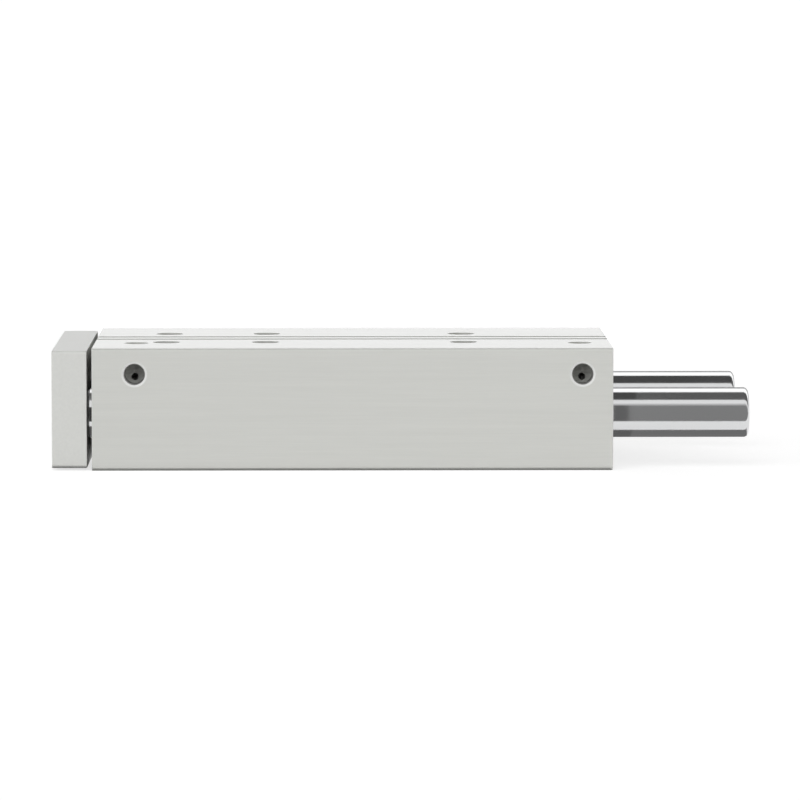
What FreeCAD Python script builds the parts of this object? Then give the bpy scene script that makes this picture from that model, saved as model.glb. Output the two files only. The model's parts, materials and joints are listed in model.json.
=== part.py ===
import FreeCAD, Part
import math
import os

# Guided pneumatic cylinder, millimetres.
# X runs along the stroke with the yoke at -X, Z is up, the origin is the centre of the housing's underside.

# Housing block
housing_width = 110.0
housing_height = 49.0
long_edge_radius = 1.2
end_edge_chamfer = 0.2

# Axes of the three rods
rod_axis_height = 22.0
guide_inset = 15.0

# Drive
bore_diameter = 32.0
stroke = 160.0
piston_rod_diameter = 12.0
guide_rod_diameter = 20.0
guide_rod_tail = 55.0
guide_rod_end_radius = 2.0
guide_rod_seat_chamfer = 0.8

# Yoke plate
yoke_thickness = 14.0
yoke_gap = 2.0
yoke_inset = 1.0

# Fits, radial
running_clearance = 0.05
static_clearance = 0.02
piston_clearance = 0.3
tail_clearance = 0.5
end_stop_gap = 0.3

# Small edge breaks
bush_chamfer = 0.3
seal_chamfer = 0.5
cushion_chamfer = 0.6
screw_tip_chamfer = 0.8
screw_head_chamfer = 0.5

# Covers in the ends of the cylinder bore
cover_seat_diameter = 34.0
end_lip = 2.0
ring_groove_width = 1.3
ring_groove_diameter = 36.2
retaining_ring_thickness = 1.2
retaining_ring_width = 3.4
retaining_ring_half_gap = 4.5
retaining_lug_radius = 2.4
retaining_lug_hole_radius = 1.0
front_cover_length = 11.2
rear_cover_length = 6.5
cover_chamfer = 0.6
cover_seal_width = 2.4
cover_seal_groove_width = 2.8
cover_seal_depth = 1.8
rear_recess_diameter = 16.0
rear_recess_depth = 1.5

# Piston rod bearing and seal in the front cover
rod_bush_wall = 1.5
rod_bush_length = 6.0
rod_seal_pocket_diameter = 18.0
rod_seal_length = 4.6

# Rubber lips
lip_land = 0.4
lip_relief = 0.9
lip_slope = 0.8
lip_shoulder = 1.6
lip_recess = 0.5
lip_flare = 0.2

# Guide bearings
guide_bush_wall = 1.5
guide_bush_length = 30.0
front_bush_start = 5.5
rear_bush_start = 69.0
guide_wiper_seat_diameter = 27.0
guide_wiper_seat_depth = 5.0
guide_wiper_recess = 0.4
guide_wiper_length = 4.2
bore_mouth_chamfer = 0.5

# Air ports, distances from the yoke end and from the top
front_port_offset = 17.0
rear_port_inset = 12.2
port_drop = 10.4
port_diameter = 8.57
port_depth = 9.0
port_mouth_diameter = 10.2
port_countersink_angle = 120.0
drill_point_angle = 118.0
top_port_inset = 28.0
top_port_depth = 8.0
top_port_mouth_diameter = 9.6
top_port_mouth_depth = 1.0
passage_diameter = 2.8
passage_drop = 1.7
passage_end_y = -5.0

# Plugs in the upper ports
plug_recess = 2.0
plug_length = 5.0
plug_chamfer = 0.5
plug_hex = 5.0
plug_hex_depth = 3.0

# Mounting holes, distances from the yoke end
mounting_offsets = (29.0, 69.0, 149.0)
mounting_hole_diameter = 6.8
mounting_head_diameter = 11.0
mounting_head_depth = 6.5
mounting_thread_mouth_diameter = 8.2

# Sensor slots in the top
slot_spacing = 12.0
slot_mouth_width = 5.2
slot_inner_width = 7.0
slot_lip = 1.5
slot_depth = 5.2

# Piston
piston_length = 17.1
cushion_thickness = 3.0
cushion_outer_diameter = 24.0
cushion_front_inner_diameter = 14.0
cushion_rear_inner_diameter = 18.0
spigot_diameter = 8.0
piston_seal_inset = 1.6
piston_seal_width = 3.0
piston_seal_groove_diameter = 25.0
seal_side_gap = 0.2
guide_ring_width = 5.0
guide_ring_groove_diameter = 28.0
magnet_length = 5.0
magnet_inner_diameter = 17.0
magnet_outer_diameter = 24.0
nut_pocket_diameter = 16.0
nut_pocket_depth = 3.5
nut_flats = 13.0
nut_height = 4.0

# Screws in the yoke
guide_screw_diameter = 8.0
guide_screw_head_diameter = 13.0
guide_screw_head_height = 8.0
guide_screw_hex = 6.0
guide_screw_reach = 16.0
rod_screw_diameter = 6.0
rod_screw_head_diameter = 10.0
rod_screw_head_height = 6.0
rod_screw_hex = 5.0
rod_screw_reach = 12.0
head_clearance = 1.0
screw_hole_clearance = 0.5
head_recess = 0.6
thread_relief = 3.0

# Load holes in the yoke
load_hole_diameter = 6.8
load_spacing_y = 40.0
load_spacing_z = 24.0
load_hole_mouth_diameter = 8.2

# Centre drilling in the tail of each guide rod
centre_mouth_diameter = 5.0
centre_drill_radius = 0.6
centre_depth = 4.0

# Derived housing length: stroke, piston and everything that closes the bore at both ends
end_closure = end_lip + ring_groove_width
piston_assembly_length = piston_length + 2 * cushion_thickness + 2 * end_stop_gap
housing_length = 2 * end_closure + front_cover_length + rear_cover_length + piston_assembly_length + stroke

# Derived stations along X
front_x = -housing_length / 2
rear_x = housing_length / 2
front_cover_outer = front_x + end_closure
front_cover_inner = front_cover_outer + front_cover_length
rear_cover_outer = rear_x - end_closure
rear_cover_inner = rear_cover_outer - rear_cover_length
piston_rear = rear_cover_inner - end_stop_gap - cushion_thickness
piston_front = piston_rear - piston_length
piston_middle = (piston_front + piston_rear) / 2
yoke_rear = front_x - yoke_gap
yoke_front = yoke_rear - yoke_thickness
guide_rod_end = rear_x + guide_rod_tail
front_port_x = front_x + front_port_offset
rear_port_x = rear_x - rear_port_inset
rear_bush_end = front_x + rear_bush_start + guide_bush_length

# Derived radii
bore_radius = bore_diameter / 2
piston_rod_radius = piston_rod_diameter / 2
guide_rod_radius = guide_rod_diameter / 2
guide_bush_radius = guide_rod_radius + guide_bush_wall
rod_bush_radius = piston_rod_radius + rod_bush_wall
cover_seat_radius = cover_seat_diameter / 2
cover_radius = cover_seat_radius - static_clearance

# Derived positions across
near_y = -housing_width / 2
guide_y = housing_width / 2 - guide_inset
port_z = housing_height - port_drop
passage_z = port_z - passage_drop
top_port_y = near_y + top_port_inset
yoke_middle_z = housing_height / 2
mounting_row_y = (bore_radius + guide_y - guide_bush_radius) / 2


def cylinder_x(radius, start, end, y, z):
    return Part.makeCylinder(radius, end - start, FreeCAD.Vector(start, y, z), FreeCAD.Vector(1, 0, 0))


def cylinder_y(radius, start, end, x, z):
    return Part.makeCylinder(radius, end - start, FreeCAD.Vector(x, start, z), FreeCAD.Vector(0, 1, 0))


def cylinder_z(radius, bottom, top, x, y):
    return Part.makeCylinder(radius, top - bottom, FreeCAD.Vector(x, y, bottom))


def box(x0, x1, y0, y1, z0, z1):
    return Part.makeBox(x1 - x0, y1 - y0, z1 - z0, FreeCAD.Vector(x0, y0, z0))


def cone_x(radius_start, radius_end, start, end, y, z):
    axis = FreeCAD.Vector(1, 0, 0)
    return Part.makeCone(radius_start, radius_end, end - start, FreeCAD.Vector(start, y, z), axis)


def port_countersink(radius, mouth_radius, face_y, x, z):
    depth = (mouth_radius - radius) / math.tan(math.radians(port_countersink_angle / 2))
    place = FreeCAD.Vector(x, face_y, z)
    return Part.makeCone(mouth_radius, radius, depth, place, FreeCAD.Vector(0, 1, 0))


def mouth_cone_z(radius, mouth_radius, face_z, direction, x, y):
    depth = mouth_radius - radius
    place = FreeCAD.Vector(x, y, face_z)
    return Part.makeCone(mouth_radius, radius, depth, place, FreeCAD.Vector(0, 0, direction))


def mouth_cone_x(radius, mouth_radius, face_x, direction, y, z):
    depth = mouth_radius - radius
    place = FreeCAD.Vector(face_x, y, z)
    return Part.makeCone(mouth_radius, radius, depth, place, FreeCAD.Vector(direction, 0, 0))


def drill_point(radius, floor, axis):
    depth = radius / math.tan(math.radians(drill_point_angle / 2))
    return Part.makeCone(radius, 0, depth, floor, axis)


def turned_x(profile, y, z):
    points = [FreeCAD.Vector(x, y, z + radius) for x, radius in profile]
    face = Part.Face(Part.makePolygon(points + points[:1]))
    return face.revolve(FreeCAD.Vector(0, y, z), FreeCAD.Vector(1, 0, 0), 360)


def hexagon_corners(flats):
    corner = flats / math.sqrt(3)
    angles = [math.radians(60 * step) for step in range(6)]
    return [(corner * math.cos(angle), corner * math.sin(angle)) for angle in angles]


def hexagon_x(flats, start, end, y, z):
    points = [FreeCAD.Vector(start, y + a, z + b) for a, b in hexagon_corners(flats)]
    face = Part.Face(Part.makePolygon(points + points[:1]))
    return face.extrude(FreeCAD.Vector(end - start, 0, 0))


def hexagon_z(flats, bottom, top, x, y):
    points = [FreeCAD.Vector(x + a, y + b, bottom) for a, b in hexagon_corners(flats)]
    face = Part.Face(Part.makePolygon(points + points[:1]))
    return face.extrude(FreeCAD.Vector(0, 0, top - bottom))


def runs_along_x(edge):
    ends = edge.Vertexes
    return len(ends) == 2 and abs(ends[0].X - ends[1].X) > edge.Length * 0.99


def rounded_block(x0, x1, y0, y1, z0, z1, radius, chamfer):
    block = box(x0, x1, y0, y1, z0, z1)
    block = block.makeFillet(radius, [edge for edge in block.Edges if runs_along_x(edge)])
    return block.makeChamfer(chamfer, [edge for edge in block.Edges if not runs_along_x(edge)])


def ring_profile(x0, x1, inner, outer, chamfer):
    return [
        (x0 + chamfer, inner),
        (x1 - chamfer, inner),
        (x1, inner + chamfer),
        (x1, outer - chamfer),
        (x1 - chamfer, outer),
        (x0 + chamfer, outer),
        (x0, outer - chamfer),
        (x0, inner + chamfer),
    ]


def chamfered_ring(x0, x1, inner, outer, chamfer, y, z):
    return turned_x(ring_profile(x0, x1, inner, outer, chamfer), y, z)


def air_port_cut(x):
    port_radius = port_diameter / 2
    mouth_radius = port_mouth_diameter / 2
    top_mouth_radius = top_port_mouth_diameter / 2
    passage_radius = passage_diameter / 2
    port_floor = near_y + port_depth
    top_floor = housing_height - top_port_depth
    top_mouth_floor = housing_height - top_port_mouth_depth
    port_end = FreeCAD.Vector(x, port_floor, port_z)
    top_port_end = FreeCAD.Vector(x, top_port_y, top_floor)
    cut = cylinder_y(port_radius, near_y, port_floor, x, port_z)
    cut = cut.fuse(port_countersink(port_radius, mouth_radius, near_y, x, port_z))
    cut = cut.fuse(drill_point(port_radius, port_end, FreeCAD.Vector(0, 1, 0)))
    cut = cut.fuse(cylinder_y(passage_radius, port_floor - port_radius, passage_end_y, x, passage_z))
    cut = cut.fuse(cylinder_z(port_radius, top_floor, housing_height, x, top_port_y))
    cut = cut.fuse(cylinder_z(top_mouth_radius, top_mouth_floor, housing_height, x, top_port_y))
    cut = cut.fuse(drill_point(port_radius, top_port_end, FreeCAD.Vector(0, 0, -1)))
    return cut.fuse(cylinder_z(passage_radius, passage_z, top_floor + port_radius, x, top_port_y))


def mounting_hole_cut(x, y):
    hole_radius = mounting_hole_diameter / 2
    head_floor = housing_height - mounting_head_depth
    cut = cylinder_z(hole_radius, 0, housing_height, x, y)
    cut = cut.fuse(cylinder_z(mounting_head_diameter / 2, head_floor, housing_height, x, y))
    return cut.fuse(mouth_cone_z(hole_radius, mounting_thread_mouth_diameter / 2, 0, 1, x, y))


def sensor_slot_cut(y):
    mouth = slot_mouth_width / 2
    inner = slot_inner_width / 2
    floor = housing_height - slot_depth
    lip_under = housing_height - slot_lip
    cut = box(front_x, rear_x, y - mouth, y + mouth, floor, housing_height)
    return cut.fuse(box(front_x, rear_x, y - inner, y + inner, floor, lip_under))


def guide_bore_cut(y):
    wiper_floor = front_x + guide_wiper_seat_depth
    tail_radius = guide_rod_radius + tail_clearance
    wiper_radius = guide_wiper_seat_diameter / 2
    z = rod_axis_height
    cut = cylinder_x(wiper_radius, front_x, wiper_floor, y, z)
    cut = cut.fuse(mouth_cone_x(wiper_radius, wiper_radius + bore_mouth_chamfer, front_x, 1, y, z))
    cut = cut.fuse(cylinder_x(guide_bush_radius, front_x, rear_bush_end, y, z))
    cut = cut.fuse(cylinder_x(tail_radius, front_x, rear_x, y, z))
    return cut.fuse(mouth_cone_x(tail_radius, tail_radius + bore_mouth_chamfer, rear_x, -1, y, z))


def cylinder_bore_cut():
    z = rod_axis_height
    groove_radius = ring_groove_diameter / 2
    mouth_radius = cover_seat_radius + bore_mouth_chamfer
    cut = cylinder_x(bore_radius, front_x, rear_x, 0, z)
    cut = cut.fuse(cylinder_x(cover_seat_radius, front_x, front_cover_inner, 0, z))
    cut = cut.fuse(cylinder_x(cover_seat_radius, rear_cover_inner, rear_x, 0, z))
    cut = cut.fuse(cylinder_x(groove_radius, front_x + end_lip, front_cover_outer, 0, z))
    cut = cut.fuse(cylinder_x(groove_radius, rear_cover_outer, rear_x - end_lip, 0, z))
    cut = cut.fuse(mouth_cone_x(cover_seat_radius, mouth_radius, front_x, 1, 0, z))
    return cut.fuse(mouth_cone_x(cover_seat_radius, mouth_radius, rear_x, -1, 0, z))


def make_housing():
    half_width = housing_width / 2
    block = rounded_block(
        front_x, rear_x, -half_width, half_width, 0, housing_height, long_edge_radius, end_edge_chamfer
    )
    block = block.cut(cylinder_bore_cut())
    for side in (-1, 1):
        block = block.cut(guide_bore_cut(side * guide_y))
        block = block.cut(sensor_slot_cut(side * slot_spacing / 2))
        for offset in mounting_offsets:
            block = block.cut(mounting_hole_cut(front_x + offset, side * mounting_row_y))
    for port_x in (front_port_x, rear_port_x):
        block = block.cut(air_port_cut(port_x))
    return block


def cover_seal_start(outer_face, inner_face):
    return (outer_face + inner_face) / 2 - cover_seal_groove_width / 2


def cover_blank(x0, x1):
    z = rod_axis_height
    groove_start = cover_seal_start(x0, x1)
    blank = turned_x(
        [
            (x0, 0),
            (x1, 0),
            (x1, cover_radius - cover_chamfer),
            (x1 - cover_chamfer, cover_radius),
            (x0 + cover_chamfer, cover_radius),
            (x0, cover_radius - cover_chamfer),
        ],
        0,
        z,
    )
    groove = cylinder_x(cover_seat_radius, groove_start, groove_start + cover_seal_groove_width, 0, z)
    core = cylinder_x(cover_seat_radius - cover_seal_depth, x0, x1, 0, z)
    return blank.cut(groove.cut(core))


def cover_seal(x0, x1):
    side_gap = (cover_seal_groove_width - cover_seal_width) / 2
    start = cover_seal_start(x0, x1) + side_gap
    inner = cover_seat_radius - cover_seal_depth + static_clearance
    outer = cover_seat_radius - static_clearance
    return chamfered_ring(start, start + cover_seal_width, inner, outer, seal_chamfer, 0, rod_axis_height)


def make_front_cover():
    z = rod_axis_height
    pocket_radius = rod_seal_pocket_diameter / 2
    pocket_floor = front_cover_outer + rod_seal_length
    bush_start = front_cover_inner - rod_bush_length
    cover = cover_blank(front_cover_outer, front_cover_inner)
    cover = cover.cut(cylinder_x(pocket_radius, front_cover_outer, pocket_floor, 0, z))
    rod_hole_radius = piston_rod_radius + tail_clearance
    cover = cover.cut(cylinder_x(rod_hole_radius, front_cover_outer, front_cover_inner, 0, z))
    return cover.cut(cylinder_x(rod_bush_radius + static_clearance, bush_start, front_cover_inner, 0, z))


def make_rod_bush():
    start = front_cover_inner - rod_bush_length
    end = front_cover_inner
    inner = piston_rod_radius + running_clearance
    return chamfered_ring(start, end, inner, rod_bush_radius, bush_chamfer, 0, rod_axis_height)


def make_rod_seal():
    x0 = front_cover_outer
    x1 = x0 + rod_seal_length
    lip = piston_rod_radius + running_clearance
    outer = rod_seal_pocket_diameter / 2 - static_clearance
    wiper_end = x0 + lip_land
    seal_edge = x1 - lip_flare
    profile = [
        (x0, lip),
        (wiper_end, lip),
        (wiper_end + lip_slope, lip + lip_relief),
        (seal_edge - lip_slope, lip + lip_relief),
        (seal_edge, lip),
        (x1, lip + lip_flare),
        (x1, outer),
        (x0 + lip_recess, outer),
        (x0 + lip_recess, lip + lip_shoulder),
    ]
    return turned_x(profile, 0, rod_axis_height)


def make_rear_cover():
    recess_radius = rear_recess_diameter / 2
    cover = cover_blank(rear_cover_inner, rear_cover_outer)
    floor = rear_cover_outer - rear_recess_depth
    return cover.cut(cylinder_x(recess_radius, floor, rear_cover_outer, 0, rod_axis_height))


def make_retaining_ring(groove_start):
    z = rod_axis_height
    x0 = groove_start + (ring_groove_width - retaining_ring_thickness) / 2
    x1 = x0 + retaining_ring_thickness
    outer = ring_groove_diameter / 2 - running_clearance
    inner = outer - retaining_ring_width
    gap = retaining_ring_half_gap
    lug_y = gap + retaining_lug_radius
    lug_z = z - math.sqrt(inner ** 2 - lug_y ** 2)
    ring = cylinder_x(outer, x0, x1, 0, z).cut(cylinder_x(inner, x0, x1, 0, z))
    ring = ring.cut(box(x0, x1, -gap, gap, z - 2 * outer, z))
    for side in (-1, 1):
        ring = ring.fuse(cylinder_x(retaining_lug_radius, x0, x1, side * lug_y, lug_z))
        ring = ring.cut(cylinder_x(retaining_lug_hole_radius, x0, x1, side * lug_y, lug_z))
    return ring.removeSplitter()


def make_guide_bush(start, y):
    inner = guide_rod_radius + running_clearance
    outer = guide_bush_radius - static_clearance
    return chamfered_ring(start, start + guide_bush_length, inner, outer, bush_chamfer, y, rod_axis_height)


def make_guide_wiper(y):
    x0 = front_x + guide_wiper_recess
    x1 = x0 + guide_wiper_length
    lip = guide_rod_radius + running_clearance
    outer = guide_wiper_seat_diameter / 2 - static_clearance
    wiper_end = x0 + lip_land
    profile = [
        (x0, lip),
        (wiper_end, lip),
        (wiper_end + lip_slope, lip + lip_relief),
        (x1, lip + lip_relief),
        (x1, outer),
        (x0 + lip_recess, outer),
        (x0 + lip_recess, lip + lip_shoulder),
    ]
    return turned_x(profile, y, rod_axis_height)


def make_port_plug(x):
    radius = port_diameter / 2 - static_clearance
    top = housing_height - plug_recess
    bottom = top - plug_length
    plug = cylinder_z(radius, bottom, top, x, top_port_y)
    plug = plug.makeChamfer(plug_chamfer, [edge for edge in plug.Edges if edge.Closed])
    return plug.cut(hexagon_z(plug_hex, top - plug_hex_depth, top, x, top_port_y))


def screw_seat_cut(head_diameter, head_height, screw_diameter, y, z):
    head_radius = head_diameter / 2 + head_clearance / 2
    head_floor = yoke_front + head_recess + head_height
    hole_radius = screw_diameter / 2 + screw_hole_clearance
    cut = cylinder_x(head_radius, yoke_front, head_floor, y, z)
    cut = cut.fuse(mouth_cone_x(head_radius, head_radius + bore_mouth_chamfer, yoke_front, 1, y, z))
    return cut.fuse(cylinder_x(hole_radius, yoke_front, yoke_rear, y, z))


def load_hole_cut(y, z):
    radius = load_hole_diameter / 2
    mouth = load_hole_mouth_diameter / 2
    cut = cylinder_x(radius, yoke_front, yoke_rear, y, z)
    return cut.fuse(mouth_cone_x(radius, mouth, yoke_front, 1, y, z))


def make_yoke_plate():
    half_width = housing_width / 2 - yoke_inset
    bottom = yoke_inset
    top = housing_height - yoke_inset
    plate = rounded_block(
        yoke_front, yoke_rear, -half_width, half_width, bottom, top, long_edge_radius, end_edge_chamfer
    )
    z = rod_axis_height
    plate = plate.cut(
        screw_seat_cut(rod_screw_head_diameter, rod_screw_head_height, rod_screw_diameter, 0, z)
    )
    for side in (-1, 1):
        plate = plate.cut(
            screw_seat_cut(
                guide_screw_head_diameter, guide_screw_head_height, guide_screw_diameter, side * guide_y, z
            )
        )
        for rise in (-1, 1):
            plate = plate.cut(
                load_hole_cut(side * load_spacing_y / 2, yoke_middle_z + rise * load_spacing_z / 2)
            )
    return plate


def make_guide_rod(y):
    z = rod_axis_height
    radius = guide_rod_radius
    rod = turned_x(
        [
            (yoke_rear, 0),
            (guide_rod_end, 0),
            (guide_rod_end, radius),
            (yoke_rear + guide_rod_seat_chamfer, radius),
            (yoke_rear, radius - guide_rod_seat_chamfer),
        ],
        y,
        z,
    )
    rims = [edge for edge in rod.Edges if edge.Closed and edge.BoundBox.XMin > guide_rod_end - radius]
    rod = rod.makeFillet(guide_rod_end_radius, rims)
    tapped_end = yoke_rear + guide_screw_reach + thread_relief
    rod = rod.cut(cylinder_x(guide_screw_diameter / 2 + static_clearance, yoke_rear, tapped_end, y, z))
    centre_start = guide_rod_end - centre_depth
    centre_mouth_radius = centre_mouth_diameter / 2
    return rod.cut(cone_x(centre_drill_radius, centre_mouth_radius, centre_start, guide_rod_end, y, z))


def make_piston_rod():
    z = rod_axis_height
    radius = piston_rod_radius
    spigot = spigot_diameter / 2
    spigot_end = piston_rear - nut_pocket_depth + nut_height
    rod = turned_x(
        [
            (yoke_rear, 0),
            (spigot_end, 0),
            (spigot_end, spigot - end_edge_chamfer),
            (spigot_end - end_edge_chamfer, spigot),
            (piston_front, spigot),
            (piston_front, radius),
            (yoke_rear + end_edge_chamfer, radius),
            (yoke_rear, radius - end_edge_chamfer),
        ],
        0,
        z,
    )
    tapped_end = yoke_rear + rod_screw_reach + thread_relief
    return rod.cut(cylinder_x(rod_screw_diameter / 2 + static_clearance, yoke_rear, tapped_end, 0, z))


def make_screw(diameter, head_diameter, head_height, hexagon, reach, y):
    z = rod_axis_height
    head_start = yoke_front + head_recess
    head_end = head_start + head_height
    head_radius = head_diameter / 2
    shank = diameter / 2
    tip = yoke_rear + reach
    screw = turned_x(
        [
            (head_start, 0),
            (tip, 0),
            (tip, shank - screw_tip_chamfer),
            (tip - screw_tip_chamfer, shank),
            (head_end, shank),
            (head_end, head_radius),
            (head_start + screw_head_chamfer, head_radius),
            (head_start, head_radius - screw_head_chamfer),
        ],
        y,
        z,
    )
    return screw.cut(hexagon_x(hexagon, head_start, head_start + head_height / 2, y, z))


def piston_half(x0, x1, outer_face):
    z = rod_axis_height
    radius = bore_radius - piston_clearance
    groove_radius = piston_seal_groove_diameter / 2
    band_radius = guide_ring_groove_diameter / 2
    half_band = guide_ring_width / 2
    half_magnet = magnet_length / 2
    inward = 1 if outer_face < piston_middle else -1
    groove_a = outer_face + inward * piston_seal_inset
    groove_b = groove_a + inward * piston_seal_width
    half = cylinder_x(radius, x0, x1, 0, z)
    rims = [edge for edge in half.Edges if edge.Closed]
    outer_rim = min(rims, key=lambda edge: abs(edge.CenterOfMass.x - outer_face))
    half = half.makeChamfer(cover_chamfer, [outer_rim])
    groove = cylinder_x(bore_radius, min(groove_a, groove_b), max(groove_a, groove_b), 0, z)
    half = half.cut(groove.cut(cylinder_x(groove_radius, x0, x1, 0, z)))
    band = cylinder_x(bore_radius, piston_middle - half_band, piston_middle + half_band, 0, z)
    half = half.cut(band.cut(cylinder_x(band_radius, x0, x1, 0, z)))
    magnet_start = piston_middle - half_magnet
    magnet_end = piston_middle + half_magnet
    pocket = cylinder_x(magnet_outer_diameter / 2, magnet_start, magnet_end, 0, z)
    hub = cylinder_x(magnet_inner_diameter / 2, x0, x1, 0, z)
    half = half.cut(pocket.cut(hub))
    return half.cut(cylinder_x(spigot_diameter / 2 + static_clearance, x0, x1, 0, z))


def make_piston_front_half():
    return piston_half(piston_front, piston_middle, piston_front)


def make_piston_rear_half():
    floor = piston_rear - nut_pocket_depth
    pocket = cylinder_x(nut_pocket_diameter / 2, floor, piston_rear, 0, rod_axis_height)
    return piston_half(piston_middle, piston_rear, piston_rear).cut(pocket)


def make_piston_magnet():
    half = magnet_length / 2 - static_clearance
    inner = magnet_inner_diameter / 2 + static_clearance
    outer = magnet_outer_diameter / 2 - static_clearance
    start = piston_middle - half
    end = piston_middle + half
    return chamfered_ring(start, end, inner, outer, bush_chamfer, 0, rod_axis_height)


def make_piston_guide_ring():
    half = guide_ring_width / 2 - static_clearance
    inner = guide_ring_groove_diameter / 2 + static_clearance
    outer = bore_radius - running_clearance
    start = piston_middle - half
    end = piston_middle + half
    return chamfered_ring(start, end, inner, outer, bush_chamfer, 0, rod_axis_height)


def make_piston_seal(outer_face):
    inward = 1 if outer_face < piston_middle else -1
    inner = piston_seal_groove_diameter / 2 + static_clearance
    body = bore_radius - piston_clearance
    lip = bore_radius - running_clearance
    width = piston_seal_width - 2 * seal_side_gap
    start = outer_face + inward * (piston_seal_inset + seal_side_gap)
    profile = [
        (0, inner),
        (width, inner),
        (width, body - lip_recess),
        (width - lip_slope, body),
        (lip_recess, lip),
        (0, lip - lip_flare),
        (0, lip - lip_relief),
        (lip_relief, inner + lip_shoulder),
        (0, inner + lip_relief),
    ]
    placed = [(start + inward * x, radius) for x, radius in profile]
    return turned_x(placed, 0, rod_axis_height)


def make_cushion_ring(x0, x1, inner_diameter):
    outer = cushion_outer_diameter / 2
    return chamfered_ring(x0, x1, inner_diameter / 2, outer, cushion_chamfer, 0, rod_axis_height)


def make_piston_nut():
    z = rod_axis_height
    x0 = piston_rear - nut_pocket_depth
    x1 = x0 + nut_height
    corner = nut_flats / math.sqrt(3)
    bevel = nut_flats / 2
    drop = (corner - bevel) * math.tan(math.radians(30))
    trim = turned_x(
        [(x0, 0), (x1, 0), (x1, bevel), (x1 - drop, corner), (x0, corner)],
        0,
        z,
    )
    nut = hexagon_x(nut_flats, x0, x1, 0, z).common(trim)
    return nut.cut(cylinder_x(spigot_diameter / 2 + static_clearance, x0, x1, 0, z))


def make_parts():
    guide_screw = (
        guide_screw_diameter,
        guide_screw_head_diameter,
        guide_screw_head_height,
        guide_screw_hex,
        guide_screw_reach,
    )
    rod_screw = (
        rod_screw_diameter,
        rod_screw_head_diameter,
        rod_screw_head_height,
        rod_screw_hex,
        rod_screw_reach,
    )
    guide_screws = [make_screw(*guide_screw, side * guide_y) for side in (-1, 1)]
    front_bush_x = front_x + front_bush_start
    rear_bush_x = front_x + rear_bush_start
    return {
        "housing": make_housing(),
        "front_cover": make_front_cover(),
        "front_cover_seal": cover_seal(front_cover_outer, front_cover_inner),
        "front_retaining_ring": make_retaining_ring(front_x + end_lip),
        "rod_bush": make_rod_bush(),
        "rod_seal": make_rod_seal(),
        "rear_cover": make_rear_cover(),
        "rear_cover_seal": cover_seal(rear_cover_inner, rear_cover_outer),
        "rear_retaining_ring": make_retaining_ring(rear_cover_outer),
        "guide_bush_front_near": make_guide_bush(front_bush_x, -guide_y),
        "guide_bush_front_far": make_guide_bush(front_bush_x, guide_y),
        "guide_bush_rear_near": make_guide_bush(rear_bush_x, -guide_y),
        "guide_bush_rear_far": make_guide_bush(rear_bush_x, guide_y),
        "guide_wiper_near": make_guide_wiper(-guide_y),
        "guide_wiper_far": make_guide_wiper(guide_y),
        "port_plug_front": make_port_plug(front_port_x),
        "port_plug_rear": make_port_plug(rear_port_x),
        "yoke_plate": make_yoke_plate(),
        "guide_rod_near": make_guide_rod(-guide_y),
        "guide_rod_far": make_guide_rod(guide_y),
        "guide_rod_screws": Part.makeCompound(guide_screws),
        "piston_rod": make_piston_rod(),
        "piston_rod_screw": make_screw(*rod_screw, 0),
        "piston_front_half": make_piston_front_half(),
        "piston_rear_half": make_piston_rear_half(),
        "piston_magnet": make_piston_magnet(),
        "piston_seal_front": make_piston_seal(piston_front),
        "piston_seal_rear": make_piston_seal(piston_rear),
        "piston_guide_ring": make_piston_guide_ring(),
        "cushion_ring_front": make_cushion_ring(
            piston_front - cushion_thickness, piston_front, cushion_front_inner_diameter
        ),
        "cushion_ring_rear": make_cushion_ring(
            piston_rear, piston_rear + cushion_thickness, cushion_rear_inner_diameter
        ),
        "piston_nut": make_piston_nut(),
    }


os.makedirs("parts", exist_ok=True)
for name, shape in make_parts().items():
    shape.exportStep(os.path.join("parts", name + ".step"))
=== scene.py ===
import bmesh
import bpy
import json
import math
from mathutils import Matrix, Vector


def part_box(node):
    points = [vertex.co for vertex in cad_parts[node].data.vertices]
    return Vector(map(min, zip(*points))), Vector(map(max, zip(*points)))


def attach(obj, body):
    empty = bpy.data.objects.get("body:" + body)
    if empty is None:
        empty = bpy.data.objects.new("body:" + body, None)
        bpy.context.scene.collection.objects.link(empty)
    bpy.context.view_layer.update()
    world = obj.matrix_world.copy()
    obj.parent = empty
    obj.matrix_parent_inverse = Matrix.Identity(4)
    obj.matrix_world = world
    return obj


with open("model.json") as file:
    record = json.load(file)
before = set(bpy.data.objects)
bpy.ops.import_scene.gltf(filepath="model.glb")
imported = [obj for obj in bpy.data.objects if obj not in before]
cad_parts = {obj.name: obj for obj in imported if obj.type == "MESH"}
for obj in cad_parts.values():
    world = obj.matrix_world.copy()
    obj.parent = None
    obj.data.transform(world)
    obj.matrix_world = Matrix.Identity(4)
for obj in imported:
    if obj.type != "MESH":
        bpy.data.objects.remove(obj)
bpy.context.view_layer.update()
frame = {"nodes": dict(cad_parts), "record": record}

MM = 0.001

# Camera: place, aim and lens that give the photograph's view on a square frame
CAMERA_PLACE = (-8.33 * MM, -2242.5 * MM, 220.1 * MM)
CAMERA_AIM = (19.59 * MM, 0.0, 23.49 * MM)
CAMERA_LENS = 247.83
SENSOR_WIDTH = 36.0
CLIP_START = 0.01
CLIP_END = 200.0

# Stage: the floor, the room from the horizon to the zenith, and the key light with its spread in degrees
FLOOR_HALF = 40.0
FLOOR_COLOUR = (0.55, 0.55, 0.55, 1.0)
FLOOR_LIFT = 0.68
ROOM_HORIZON = 1.0
ROOM_ZENITH = 0.15
KEY_STRENGTH = 1.5
KEY_SPREAD = 80.0
KEY_PLACE = (-1.0, -2.2, 1.0)

# Corners of the block, of the yoke and of both guide rods
block_low, block_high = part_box("housing")
yoke_low, yoke_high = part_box("yoke_plate")
near_low, near_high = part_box("guide_rod_near")
far_low, far_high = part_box("guide_rod_far")

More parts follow.
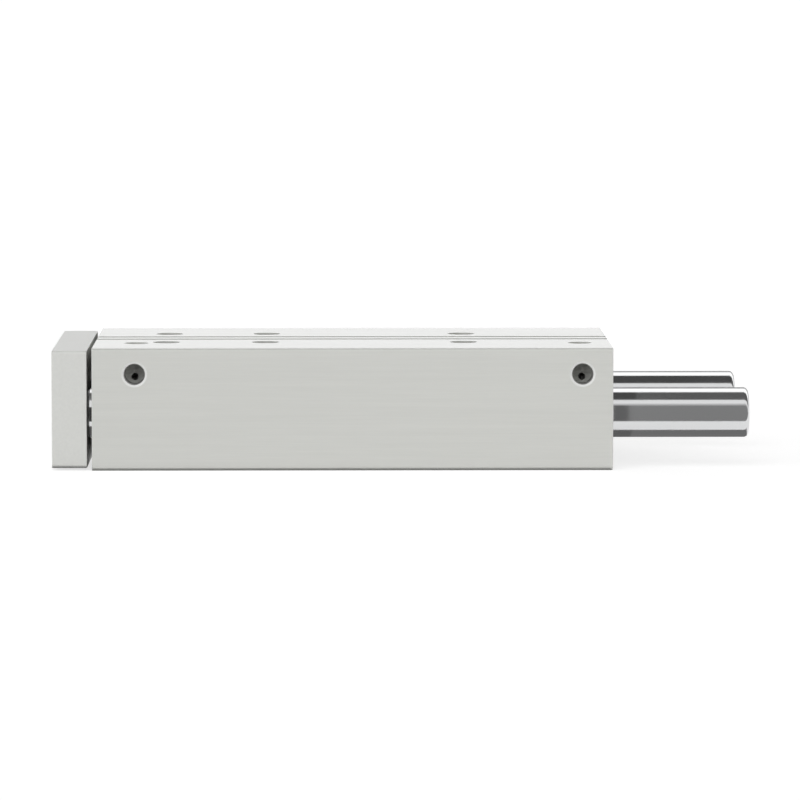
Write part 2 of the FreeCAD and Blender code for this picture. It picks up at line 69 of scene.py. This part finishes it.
# Axes and end of the guide rods, and a height that the block's top face doesn't see
rod_axis_z = (near_low.z + near_high.z) / 2
near_rod_y = (near_low.y + near_high.y) / 2
far_rod_y = (far_low.y + far_high.y) / 2
rod_end_x = near_high.x
below_top = block_high.z - 3 * MM

# Ends of the studio that the cards share
STUDIO_LEFT = -12.0
STUDIO_RIGHT = 12.0
STUDIO_FRONT = -3.0
STUDIO_BACK = 3.5
STUDIO_TOP = 3.0
FRONT_LEFT = -0.6
ON_FLOOR = 0.1 * MM

# Studio cards that only reflections show: two edges that run along the rods, each as
# (left x, right x, y, z), and brightness
CARDS = {
    "card_floor_rods_front": (
        (block_high.x - 4 * MM, STUDIO_RIGHT, block_low.y - 19 * MM, ON_FLOOR),
        (FRONT_LEFT, STUDIO_RIGHT, STUDIO_FRONT, ON_FLOOR),
        0.27,
    ),
    # Painted shade: dark card on the floor under the rods, in place of their shadow in reflections
    "shade_card_floor_rods_under": (
        (block_high.x + 0.5 * MM, rod_end_x + 11 * MM, block_low.y + 6 * MM, ON_FLOOR),
        (block_high.x + 0.5 * MM, rod_end_x + 11 * MM, block_high.y - 1 * MM, ON_FLOOR),
        0.2,
    ),
    # Painted shade: dark card on the floor under the block, in place of its contact shadow in reflections
    "shade_card_floor_block": (
        (yoke_low.x - 2 * MM, block_high.x - 0.5 * MM, block_low.y - 3.5 * MM, ON_FLOOR),
        (yoke_low.x - 2 * MM, block_high.x - 0.5 * MM, block_low.y + 35 * MM, ON_FLOOR),
        0.12,
    ),
    # Painted shade: dark cards in front of and under the rod roots, which darken the rods near the block
    "shade_card_root_front": (
        (block_high.x - 4.1 * MM, block_high.x + 7.9 * MM, block_low.y - 20.2 * MM, ON_FLOOR),
        (block_high.x - 4.1 * MM, block_high.x + 7.9 * MM, block_low.y - 20.2 * MM, below_top - 1 * MM),
        0.15,
    ),
    "shade_card_root_under": (
        (block_high.x + 0.5 * MM, block_high.x + 8.5 * MM, block_low.y + 6 * MM, 2 * ON_FLOOR),
        (block_high.x + 0.5 * MM, block_high.x + 8.5 * MM, block_low.y + 45 * MM, 2 * ON_FLOOR),
        0.14,
    ),
    "card_front": (
        (FRONT_LEFT, STUDIO_RIGHT, STUDIO_FRONT, 0.0),
        (FRONT_LEFT, STUDIO_RIGHT, STUDIO_FRONT, 2.2),
        0.27,
    ),
    "card_front_edge": (
        (FRONT_LEFT, STUDIO_RIGHT, STUDIO_FRONT, 2.2),
        (FRONT_LEFT, STUDIO_RIGHT, STUDIO_FRONT, 2.9),
        0.6,
    ),
    "card_top": (
        (STUDIO_LEFT, STUDIO_RIGHT, -1.5, STUDIO_TOP),
        (STUDIO_LEFT, STUDIO_RIGHT, 1.05, STUDIO_TOP),
        0.13,
    ),
    "card_top_left": (
        (-5.0, -0.7, -0.9, STUDIO_TOP - 0.01),
        (-5.0, -0.7, 0.3, STUDIO_TOP - 0.01),
        2.5,
    ),
    "card_strip": (
        (STUDIO_LEFT, STUDIO_RIGHT, 1.35, STUDIO_TOP),
        (STUDIO_LEFT, STUDIO_RIGHT, 3.0, 2.52),
        1.5,
    ),
    "card_back": (
        (STUDIO_LEFT, STUDIO_RIGHT, STUDIO_BACK, 0.94),
        (STUDIO_LEFT, STUDIO_RIGHT, STUDIO_BACK, 2.02),
        0.3,
    ),
    "card_back_low": (
        (STUDIO_LEFT, STUDIO_RIGHT, STUDIO_BACK, 0.0),
        (STUDIO_LEFT, STUDIO_RIGHT, STUDIO_BACK, 0.94),
        1.12,
    ),
}

# Dark cards in the gap between block and yoke and above the rods, given as the studio cards are. The two in
# the gap and the one above the near rod's root are painted shade, seen in reflections.
# Each shows on one side only, and swapping its two x turns it round
ONE_SIDED_CARDS = {
    # Painted shade: darkens the rods seen through the gap
    "shade_card_gap_front": (
        (block_low.x, yoke_high.x, block_low.y + 0.5 * MM, rod_axis_z - 6.3 * MM),
        (block_low.x, yoke_high.x, block_low.y + 0.5 * MM, rod_axis_z + 6.2 * MM),
        0.05,
    ),
    # Painted shade: darkens the faces in the gap
    "shade_card_gap_back": (
        (yoke_high.x, block_low.x, block_high.y - 0.5 * MM, 0.0),
        (yoke_high.x, block_low.x, block_high.y - 0.5 * MM, block_high.z - 2 * MM),
        0.03,
    ),
    # Painted shade: darkens the near rod by its root
    "shade_card_root_top": (
        (block_high.x + 10.4 * MM, block_high.x + 0.5 * MM, near_rod_y - 15.7 * MM, below_top),
        (block_high.x + 10.4 * MM, block_high.x + 0.5 * MM, near_rod_y + 0.6 * MM, below_top),
        0.078,
    ),
    "card_far_rod": (
        (rod_end_x + 6 * MM, block_high.x + 0.5 * MM, far_rod_y - 15.7 * MM, below_top),
        (rod_end_x + 6 * MM, block_high.x + 0.5 * MM, far_rod_y + 0.6 * MM, below_top),
        0.08,
    ),
}

# White sheet from the near corner of the block to the front cards, so that the rods mirror those cards
# and the block doesn't: both ends of its foot as (x, y), its height and its brightness
DIVIDER_FOOT = (
    (block_high.x + 0.6 * MM, block_low.y - 0.5 * MM),
    (FRONT_LEFT, STUDIO_FRONT),
)
DIVIDER_HEIGHT = STUDIO_TOP
DIVIDER_LEVEL = 1.0

# Threads: pitch, and how far the ridge stands out of and into the wall of its hole
PORT_PITCH = 0.907 * MM
SCREW_PITCH = 1.25 * MM
THREAD_HEIGHT = 0.3 * MM
THREAD_BED = 0.04 * MM
THREAD_STEPS = 36

# Threads: width of the ridge at its root and at its crest as shares of the pitch, turns over which
# it fades out, least height that is left, and the angle in degrees above which an edge is sharp
ROOT_SHARE = 0.8
CREST_SHARE = 0.2
FADE_TURNS = 1 / 3
FADE_LEAST = 0.1
SHARP_ANGLE = 35.0

# Threads: distance from the face to the first and the last turn
PORT_REACH = (0.6 * MM, 8.7 * MM)
LOAD_REACH = (0.8 * MM, 13.8 * MM)
MOUNTING_REACH = (0.8 * MM, 20.0 * MM)

# Painted highlight on the rims around the open ports: their width, how far they reach in along y, and how
# soft they end
PORT_RIM_WIDTH = 0.87 * MM
PORT_RIM_REACH = 1.0 * MM
BALL_SOFTNESS = 0.1 * MM


def add_object(name, data):
    made = bpy.data.objects.new(name, data)
    bpy.context.scene.collection.objects.link(made)
    return made


def aim_at(thing, place, target):
    thing.location = place
    direction = Vector(target) - Vector(place)
    thing.rotation_euler = direction.to_track_quat("-Z", "Y").to_euler()


def make_camera():
    data = bpy.data.cameras.new("photo_camera")
    data.lens = CAMERA_LENS
    data.sensor_width = SENSOR_WIDTH
    data.clip_start = CLIP_START
    data.clip_end = CLIP_END
    camera = add_object("photo_camera", data)
    aim_at(camera, CAMERA_PLACE, CAMERA_AIM)
    bpy.context.scene.camera = camera


def background_share(nodes, links):
    path = nodes.new("ShaderNodeLightPath")
    seen = nodes.new("ShaderNodeMath")
    seen.operation = "MAXIMUM"
    share = nodes.new("ShaderNodeMath")
    share.operation = "MAXIMUM"
    links.new(path.outputs["Is Camera Ray"], seen.inputs[0])
    links.new(path.outputs["Is Glossy Ray"], seen.inputs[1])
    links.new(seen.outputs["Value"], share.inputs[0])
    links.new(path.outputs["Is Transmission Ray"], share.inputs[1])
    return share.outputs["Value"]


def make_world():
    world = bpy.data.worlds.new("studio")
    bpy.context.scene.world = world
    world.use_nodes = True
    nodes = world.node_tree.nodes
    links = world.node_tree.links
    nodes.clear()
    place = nodes.new("ShaderNodeTexCoord")
    split = nodes.new("ShaderNodeSeparateXYZ")
    level = nodes.new("ShaderNodeMapRange")
    level.inputs["To Min"].default_value = ROOM_HORIZON
    level.inputs["To Max"].default_value = ROOM_ZENITH
    room = nodes.new("ShaderNodeBackground")
    room.inputs["Color"].default_value = (1.0, 1.0, 1.0, 1.0)
    white = nodes.new("ShaderNodeBackground")
    white.inputs["Color"].default_value = (1.0, 1.0, 1.0, 1.0)
    white.inputs["Strength"].default_value = 1.0
    mix = nodes.new("ShaderNodeMixShader")
    output = nodes.new("ShaderNodeOutputWorld")
    links.new(place.outputs["Generated"], split.inputs["Vector"])
    links.new(split.outputs["Z"], level.inputs["Value"])
    links.new(level.outputs["Result"], room.inputs["Strength"])
    links.new(background_share(nodes, links), mix.inputs["Fac"])
    links.new(room.outputs["Background"], mix.inputs[1])
    links.new(white.outputs["Background"], mix.inputs[2])
    links.new(mix.outputs["Shader"], output.inputs["Surface"])


def card_corners(first, second):
    left, right, y, z = first
    corners = [(left, y, z), (right, y, z)]
    left, right, y, z = second
    return corners + [(right, y, z), (left, y, z)]


def divider_corners():
    near, far = DIVIDER_FOOT
    return [(*near, 0.0), (*far, 0.0), (*far, DIVIDER_HEIGHT), (*near, DIVIDER_HEIGHT)]


def clear_from_behind(nodes, links, surface):
    side = nodes.new("ShaderNodeNewGeometry")
    clear = nodes.new("ShaderNodeBsdfTransparent")
    mix = nodes.new("ShaderNodeMixShader")
    links.new(side.outputs["Backfacing"], mix.inputs["Fac"])
    links.new(surface, mix.inputs[1])
    links.new(clear.outputs["BSDF"], mix.inputs[2])
    return mix.outputs["Shader"]


def make_card(name, corners, level, one_sided=False):
    mesh = bpy.data.meshes.new(name)
    mesh.from_pydata(corners, [], [(0, 1, 2, 3)])
    card = add_object(name, mesh)
    card.visible_camera = False
    card.visible_diffuse = False
    card.visible_shadow = False
    material = bpy.data.materials.new(name)
    material.use_nodes = True
    nodes = material.node_tree.nodes
    links = material.node_tree.links
    nodes.clear()
    glow = nodes.new("ShaderNodeEmission")
    glow.inputs["Strength"].default_value = level
    output = nodes.new("ShaderNodeOutputMaterial")
    surface = glow.outputs["Emission"]
    if one_sided:
        surface = clear_from_behind(nodes, links, surface)
    links.new(surface, output.inputs["Surface"])
    mesh.materials.append(material)


def make_floor():
    mesh = bpy.data.meshes.new("floor")
    half = FLOOR_HALF
    corners = [(-half, -half, 0.0), (half, -half, 0.0), (half, half, 0.0), (-half, half, 0.0)]
    mesh.from_pydata(corners, [], [(0, 1, 2, 3)])
    floor = add_object("floor", mesh)
    material = bpy.data.materials.new("pale_floor")
    material.use_nodes = True
    nodes = material.node_tree.nodes
    links = material.node_tree.links
    nodes.clear()
    matt = nodes.new("ShaderNodeBsdfDiffuse")
    matt.inputs["Color"].default_value = FLOOR_COLOUR
    lift = nodes.new("ShaderNodeEmission")
    strength = nodes.new("ShaderNodeMath")
    strength.operation = "MULTIPLY"
    strength.inputs[1].default_value = FLOOR_LIFT
    add = nodes.new("ShaderNodeAddShader")
    output = nodes.new("ShaderNodeOutputMaterial")
    links.new(background_share(nodes, links), strength.inputs[0])
    links.new(strength.outputs["Value"], lift.inputs["Strength"])
    links.new(matt.outputs["BSDF"], add.inputs[0])
    links.new(lift.outputs["Emission"], add.inputs[1])
    links.new(add.outputs["Shader"], output.inputs["Surface"])
    mesh.materials.append(material)


def make_key_light():
    data = bpy.data.lights.new("key_light", "SUN")
    data.energy = KEY_STRENGTH
    data.angle = math.radians(KEY_SPREAD)
    light = add_object("key_light", data)
    aim_at(light, KEY_PLACE, (0.0, 0.0, 0.0))
    light.visible_glossy = False


class Finish:
    """A procedural surface, built up around one principled shader."""

    # Radians that the wave texture turns through in one unit, and how its rings stray
    WAVE_TURN = 20.0
    WAVE_STRAY = 1.5
    WAVE_DETAIL = 2.0
    WAVE_DETAIL_SCALE = 40.0

    # Rays cast to find edges, which the finishes lighten as edge wear and painted highlight, and recesses,
    # which get painted shade, and the ends of each answer's range
    EDGE_RAYS = 4
    EDGE_RANGE = (0.995, 0.9)
    RECESS_RAYS = 8
    RECESS_RANGE = (0.35, 0.85)

    def __init__(self, name, metallic=0.0):
        self.material = bpy.data.materials.new(name)
        self.material.use_nodes = True
        self.nodes = self.material.node_tree.nodes
        self.links = self.material.node_tree.links
        self.shader = self.nodes["Principled BSDF"]
        self.shader.inputs["Metallic"].default_value = metallic
        self.place = self.nodes.new("ShaderNodeTexCoord").outputs["Object"]

    def noise(self, scale, detail=2.0):
        mapping = self.nodes.new("ShaderNodeMapping")
        mapping.inputs["Scale"].default_value = scale
        texture = self.nodes.new("ShaderNodeTexNoise")
        texture.inputs["Scale"].default_value = 1.0
        texture.inputs["Detail"].default_value = detail
        self.links.new(self.place, mapping.inputs["Vector"])
        self.links.new(mapping.outputs["Vector"], texture.inputs["Vector"])
        return texture.outputs["Fac"]

    def rings(self, centre_z, spacing):
        mapping = self.nodes.new("ShaderNodeMapping")
        mapping.inputs["Location"].default_value = (0.0, 0.0, -centre_z)
        wave = self.nodes.new("ShaderNodeTexWave")
        wave.wave_type = "RINGS"
        wave.rings_direction = "X"
        wave.inputs["Scale"].default_value = math.tau / (self.WAVE_TURN * spacing)
        wave.inputs["Distortion"].default_value = self.WAVE_STRAY
        wave.inputs["Detail"].default_value = self.WAVE_DETAIL
        wave.inputs["Detail Scale"].default_value = self.WAVE_DETAIL_SCALE
        self.links.new(self.place, mapping.inputs["Vector"])
        self.links.new(mapping.outputs["Vector"], wave.inputs["Vector"])
        return wave.outputs["Fac"]

    def pores(self, scale):
        texture = self.nodes.new("ShaderNodeTexVoronoi")
        texture.inputs["Scale"].default_value = scale
        self.links.new(self.place, texture.inputs["Vector"])
        return texture.outputs["Distance"]

    # Share that is one at edges, where the finishes lighten the colour, partly as edge wear and partly as a
    # painted highlight
    def edges(self, radius):
        bevel = self.nodes.new("ShaderNodeBevel")
        bevel.samples = self.EDGE_RAYS
        bevel.inputs["Radius"].default_value = radius
        geometry = self.nodes.new("ShaderNodeNewGeometry")
        dot = self.nodes.new("ShaderNodeVectorMath")
        dot.operation = "DOT_PRODUCT"
        self.links.new(bevel.outputs["Normal"], dot.inputs[0])
        self.links.new(geometry.outputs["Normal"], dot.inputs[1])
        return self.spread(dot.outputs["Value"], 0.0, 1.0, *self.EDGE_RANGE)

    # Share that is one in recesses found by ambient occlusion, where the colour is darkened as painted shade
    def recess_shade(self, reach):
        shade = self.nodes.new("ShaderNodeAmbientOcclusion")
        shade.samples = self.RECESS_RAYS
        shade.inputs["Distance"].default_value = reach
        return self.spread(shade.outputs["AO"], 1.0, 0.0, *self.RECESS_RANGE)

    def around(self, centre, radius, reach_y):
        """Share that is one in a ball around a point, flattened along y."""
        squeeze = radius / reach_y
        mapping = self.nodes.new("ShaderNodeMapping")
        mapping.inputs["Scale"].default_value = (1.0, squeeze, 1.0)
        distance = self.nodes.new("ShaderNodeVectorMath")
        distance.operation = "DISTANCE"
        x, y, z = centre
        distance.inputs[1].default_value = (x, squeeze * y, z)
        self.links.new(self.place, mapping.inputs["Vector"])
        self.links.new(mapping.outputs["Vector"], distance.inputs[0])
        return self.spread(distance.outputs["Value"], 1.0, 0.0, radius - BALL_SOFTNESS, radius)

    def spread(self, value, low, high, start=0.3, end=0.7):
        node = self.nodes.new("ShaderNodeMapRange")
        node.inputs["From Min"].default_value = start
        node.inputs["From Max"].default_value = end
        node.inputs["To Min"].default_value = low
        node.inputs["To Max"].default_value = high
        self.links.new(value, node.inputs["Value"])
        return node.outputs["Result"]

    def mixed(self, share, first, second):
        node = self.nodes.new("ShaderNodeMix")
        node.data_type = "RGBA"
        self.links.new(share, node.inputs["Factor"])
        for socket, colour in ((node.inputs["A"], first), (node.inputs["B"], second)):
            if isinstance(colour, tuple):
                socket.default_value = (*colour, 1.0)
            else:
                self.links.new(colour, socket)
        return node.outputs["Result"]

    def colour(self, value):
        self.links.new(value, self.shader.inputs["Base Color"])

    def roughness(self, value, low, high):
        self.links.new(self.spread(value, low, high), self.shader.inputs["Roughness"])

    def relief(self, *layers):
        normal = None
        for height, depth in layers:
            bump = self.nodes.new("ShaderNodeBump")
            bump.inputs["Distance"].default_value = depth
            self.links.new(height, bump.inputs["Height"])
            if normal is not None:
                self.links.new(normal, bump.inputs["Normal"])
            normal = bump.outputs["Normal"]
        self.links.new(normal, self.shader.inputs["Normal"])

    def coat(self, weight, roughness):
        self.shader.inputs["Coat Weight"].default_value = weight
        self.shader.inputs["Coat Roughness"].default_value = roughness


def anodised_aluminium():
    finish = Finish("anodised_aluminium", 0.5)
    streaks = finish.noise((60.0, 2500.0, 2500.0), 3.0)
    clouds = finish.noise((22.0, 35.0, 35.0), 2.0)
    grain = finish.noise((9000.0, 9000.0, 9000.0), 1.0)
    bands = finish.noise((6.0, 420.0, 420.0), 3.0)
    drawn = finish.mixed(streaks, (0.57, 0.575, 0.545), (0.62, 0.625, 0.595))
    banded = finish.mixed(finish.spread(bands, 0.0, 0.2), drawn, (0.49, 0.495, 0.473))
    # Lighter edges: partly edge wear, partly a painted highlight
    tone = finish.mixed(finish.edges(0.35 * MM), banded, (0.74, 0.745, 0.725))
    # Painted highlight: the rims around both open ports are lighter
    rim_radius = hole_radius("port_front") + PORT_RIM_WIDTH
    for mouth in port_mouths():
        rim_highlight = finish.around(mouth, rim_radius, PORT_RIM_REACH)
        tone = finish.mixed(rim_highlight, tone, (0.72, 0.725, 0.71))
    finish.colour(tone)
    finish.roughness(clouds, 0.33, 0.39)
    finish.relief((streaks, 0.003 * MM), (grain, 0.001 * MM))
    finish.coat(1.0, 0.18)
    return finish.material


def blasted_aluminium():
    finish = Finish("blasted_aluminium", 0.5)
    grain = finish.noise((6000.0, 6000.0, 6000.0), 2.0)
    clouds = finish.noise((30.0, 30.0, 30.0), 2.0)
    speckle = finish.noise((900.0, 900.0, 900.0), 3.0)
    tone = finish.mixed(grain, (0.615, 0.62, 0.595), (0.675, 0.68, 0.655))
    blasted = finish.mixed(finish.spread(speckle, 0.0, 0.25), tone, (0.54, 0.545, 0.524))
    # Lighter edges: partly edge wear, partly a painted highlight
    finish.colour(finish.mixed(finish.edges(0.35 * MM), blasted, (0.76, 0.765, 0.745)))
    finish.roughness(clouds, 0.42, 0.48)
    finish.relief((grain, 0.004 * MM))
    finish.coat(0.65, 0.3)
    return finish.material


def turned_aluminium():
    finish = Finish("turned_aluminium", 0.95)
    rings = finish.rings(rod_axis_z, 0.35 * MM)
    clouds = finish.noise((160.0, 160.0, 160.0), 3.0)
    turned = finish.mixed(clouds, (0.56, 0.56, 0.555), (0.66, 0.66, 0.655))
    # Lighter edges: partly edge wear, partly a painted highlight
    finish.colour(finish.mixed(finish.edges(0.3 * MM), turned, (0.86, 0.86, 0.85)))
    finish.roughness(clouds, 0.28, 0.38)
    finish.relief((rings, 0.012 * MM))
    return finish.material


def chromed_steel():
    finish = Finish("chromed_steel", 1.0)
    lines = finish.noise((7000.0, 90.0, 90.0), 2.0)
    clouds = finish.noise((40.0, 25.0, 25.0), 2.0)
    finish.colour(finish.mixed(clouds, (0.685, 0.69, 0.695), (0.715, 0.72, 0.725)))
    finish.roughness(clouds, 0.11, 0.15)
    finish.relief((lines, 0.0003 * MM))
    return finish.material


def zinc_plated_steel():
    finish = Finish("zinc_plated_steel", 1.0)
    clouds = finish.noise((420.0, 420.0, 420.0), 3.0)
    grain = finish.noise((4000.0, 4000.0, 4000.0), 2.0)
    plated = finish.mixed(clouds, (0.47, 0.49, 0.53), (0.57, 0.56, 0.53))
    # Painted shade: near black in recesses such as the hex sockets
    finish.colour(finish.mixed(finish.recess_shade(6.0 * MM), plated, (0.13, 0.13, 0.135)))
    finish.roughness(grain, 0.24, 0.34)
    finish.relief((grain, 0.003 * MM))
    return finish.material


def spring_steel():
    finish = Finish("spring_steel", 0.8)
    clouds = finish.noise((500.0, 500.0, 500.0), 3.0)
    grain = finish.noise((5000.0, 5000.0, 5000.0), 2.0)
    finish.colour(finish.mixed(clouds, (0.055, 0.055, 0.06), (0.1, 0.098, 0.095)))
    finish.roughness(grain, 0.36, 0.5)
    finish.relief((grain, 0.004 * MM))
    return finish.material


def sintered_bronze():
    finish = Finish("bronze", 1.0)
    pores = finish.pores(4500.0)
    clouds = finish.noise((300.0, 300.0, 300.0), 2.0)
    tone = finish.mixed(clouds, (0.42, 0.28, 0.13), (0.5, 0.34, 0.17))
    finish.colour(finish.mixed(finish.spread(pores, 0.7, 0.0, 0.0, 0.35), tone, (0.1, 0.06, 0.03)))
    finish.roughness(clouds, 0.32, 0.44)
    finish.relief((pores, 0.008 * MM))
    return finish.material


def nickel_plated_brass():
    finish = Finish("nickel_plated_brass", 1.0)
    clouds = finish.noise((600.0, 600.0, 600.0), 3.0)
    grain = finish.noise((5000.0, 5000.0, 5000.0), 2.0)
    finish.colour(finish.mixed(clouds, (0.5, 0.49, 0.45), (0.58, 0.57, 0.53)))
    finish.roughness(grain, 0.2, 0.3)
    finish.relief((grain, 0.002 * MM))
    return finish.material


def black_rubber():
    finish = Finish("black_rubber")
    grain = finish.noise((3000.0, 3000.0, 3000.0), 4.0)
    finish.colour(finish.mixed(grain, (0.012, 0.012, 0.012), (0.03, 0.03, 0.03)))
    finish.roughness(grain, 0.5, 0.65)
    finish.relief((grain, 0.01 * MM))
    return finish.material


def bonded_magnet():
    finish = Finish("magnet")
    specks = finish.pores(2500.0)
    clouds = finish.noise((900.0, 900.0, 900.0), 3.0)
    finish.colour(finish.mixed(specks, (0.075, 0.075, 0.08), (0.035, 0.035, 0.04)))
    finish.roughness(clouds, 0.45, 0.6)
    finish.relief((specks, 0.008 * MM))
    return finish.material


def guide_band():
    finish = Finish("guide_band")
    weave = finish.noise((2500.0, 1200.0, 1200.0), 3.0)
    finish.colour(finish.mixed(weave, (0.4, 0.35, 0.26), (0.48, 0.43, 0.33)))
    finish.roughness(weave, 0.4, 0.5)
    finish.relief((weave, 0.006 * MM))
    return finish.material


def cut_thread():
    finish = Finish("cut_thread", 0.9)
    lines = finish.noise((3000.0, 3000.0, 3000.0), 2.0)
    clouds = finish.noise((700.0, 700.0, 700.0), 2.0)
    # Darker than the block's aluminium: painted shade in the threaded holes
    finish.colour(finish.mixed(clouds, (0.2, 0.2, 0.195), (0.32, 0.32, 0.31)))
    finish.roughness(clouds, 0.34, 0.46)
    finish.relief((lines, 0.003 * MM))
    return finish.material


def make_materials():
    return {
        "anodised_aluminium": anodised_aluminium(),
        "blasted_aluminium": blasted_aluminium(),
        "turned_aluminium": turned_aluminium(),
        "chromed_steel": chromed_steel(),
        "zinc_plated_steel": zinc_plated_steel(),
        "spring_steel": spring_steel(),
        "bronze": sintered_bronze(),
        "nickel_plated_brass": nickel_plated_brass(),
        "black_rubber": black_rubber(),
        "magnet": bonded_magnet(),
        "guide_band": guide_band(),
        "cut_thread": cut_thread(),
    }


def dress_nodes(materials):
    slots = {part["node"]: part["material_slot"] for part in frame["record"]["subparts"]}
    for name, node in frame["nodes"].items():
        node.data.materials.clear()
        node.data.materials.append(materials[slots[name]])


def add_ridge(work, mouth, axis, radius, pitch, reach):
    """One helical ridge on the wall of a hole, as a closed bead that fades out at both ends."""
    start, end = reach
    root = ROOT_SHARE * pitch
    crest = CREST_SHARE * pitch
    axis = Vector(axis)
    side = axis.orthogonal().normalized()
    other = axis.cross(side)
    turns = (end - start - root) / pitch
    steps = math.ceil(turns * THREAD_STEPS)
    rows = []
    for step in range(steps + 1):
        share = step / steps
        angle = math.tau * turns * share
        outward = side * math.cos(angle) + other * math.sin(angle)
        turns_to_end = turns * min(share, 1 - share)
        fade = max(FADE_LEAST, min(1.0, turns_to_end / FADE_TURNS))
        middle = Vector(mouth) + axis * (start + root / 2 + pitch * turns * share)
        section = (
            (-root / 2, radius + THREAD_BED),
            (-crest / 2, radius - THREAD_HEIGHT * fade),
            (crest / 2, radius - THREAD_HEIGHT * fade),
            (root / 2, radius + THREAD_BED),
        )
        rows.append([work.verts.new(middle + axis * along + outward * out) for along, out in section])
    for row, following in zip(rows, rows[1:]):
        for a in range(4):
            b = (a + 1) % 4
            work.faces.new((row[a], row[b], following[b], following[a]))
    work.faces.new(rows[0])
    work.faces.new(rows[-1])


def make_threads(name, body, mouths, axis, radius, pitch, reach, materials):
    work = bmesh.new()
    for mouth in mouths:
        add_ridge(work, mouth, axis, radius, pitch, reach)
    bmesh.ops.recalc_face_normals(work, faces=work.faces)
    mesh = bpy.data.meshes.new(name)
    work.to_mesh(mesh)
    work.free()
    mesh.shade_smooth()
    mesh.set_sharp_from_angle(angle=math.radians(SHARP_ANGLE))
    mesh.materials.append(materials["cut_thread"])
    piece = add_object(name, mesh)
    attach(piece, body)


def mount_of(name):
    return next(mount for mount in frame["record"]["mounts"] if mount["name"] == name)


def hole_radius(name):
    dims = mount_of(name)["dims"]
    return dims.get("hole_r_mm", dims.get("r_mm")) * MM


def port_mouths():
    places = [Vector(mount_of(name)["pos_m"]) for name in ("port_front", "port_rear")]
    return [(place.x, block_low.y, place.z) for place in places]


def make_port_threads(materials):
    mouths = port_mouths()
    radius = hole_radius("port_front")
    make_threads(
        "port_threads", "housing_body", mouths, (0, 1, 0), radius, PORT_PITCH, PORT_REACH, materials
    )


def make_mounting_threads(materials):
    mouths = []
    for name in ("base_threads_front", "base_threads_rear"):
        mount = mount_of(name)
        half_x = mount["dims"].get("spacing_x_mm", 0.0) * MM / 2
        half_y = mount["dims"]["spacing_y_mm"] * MM / 2
        x, y, _ = mount["pos_m"]
        columns = {x - half_x, x + half_x}
        rows = (y - half_y, y + half_y)
        mouths += [(column, row, block_low.z) for column in sorted(columns) for row in rows]
    radius = hole_radius("base_threads_front")
    make_threads(
        "mounting_threads", "housing_body", mouths, (0, 0, 1), radius, SCREW_PITCH, MOUNTING_REACH, materials
    )


def make_load_threads(materials):
    mount = mount_of("yoke_threads")
    half_y = mount["dims"]["spacing_x_mm"] * MM / 2
    half_z = mount["dims"]["spacing_y_mm"] * MM / 2
    _, y, z = mount["pos_m"]
    rows = (y - half_y, y + half_y)
    levels = (z - half_z, z + half_z)
    mouths = [(yoke_low.x, row, level) for row in rows for level in levels]
    radius = hole_radius("yoke_threads")
    make_threads("load_threads", "yoke_body", mouths, (1, 0, 0), radius, SCREW_PITCH, LOAD_REACH, materials)


bpy.context.scene.view_settings.view_transform = "Standard"
make_camera()
make_world()
make_floor()
for card, (first, second, level) in CARDS.items():
    make_card(card, card_corners(first, second), level)
for card, (first, second, level) in ONE_SIDED_CARDS.items():
    make_card(card, card_corners(first, second), level, one_sided=True)
make_card("card_divider", divider_corners(), DIVIDER_LEVEL)
make_key_light()
finishes = make_materials()
dress_nodes(finishes)
make_port_threads(finishes)
make_mounting_threads(finishes)
make_load_threads(finishes)
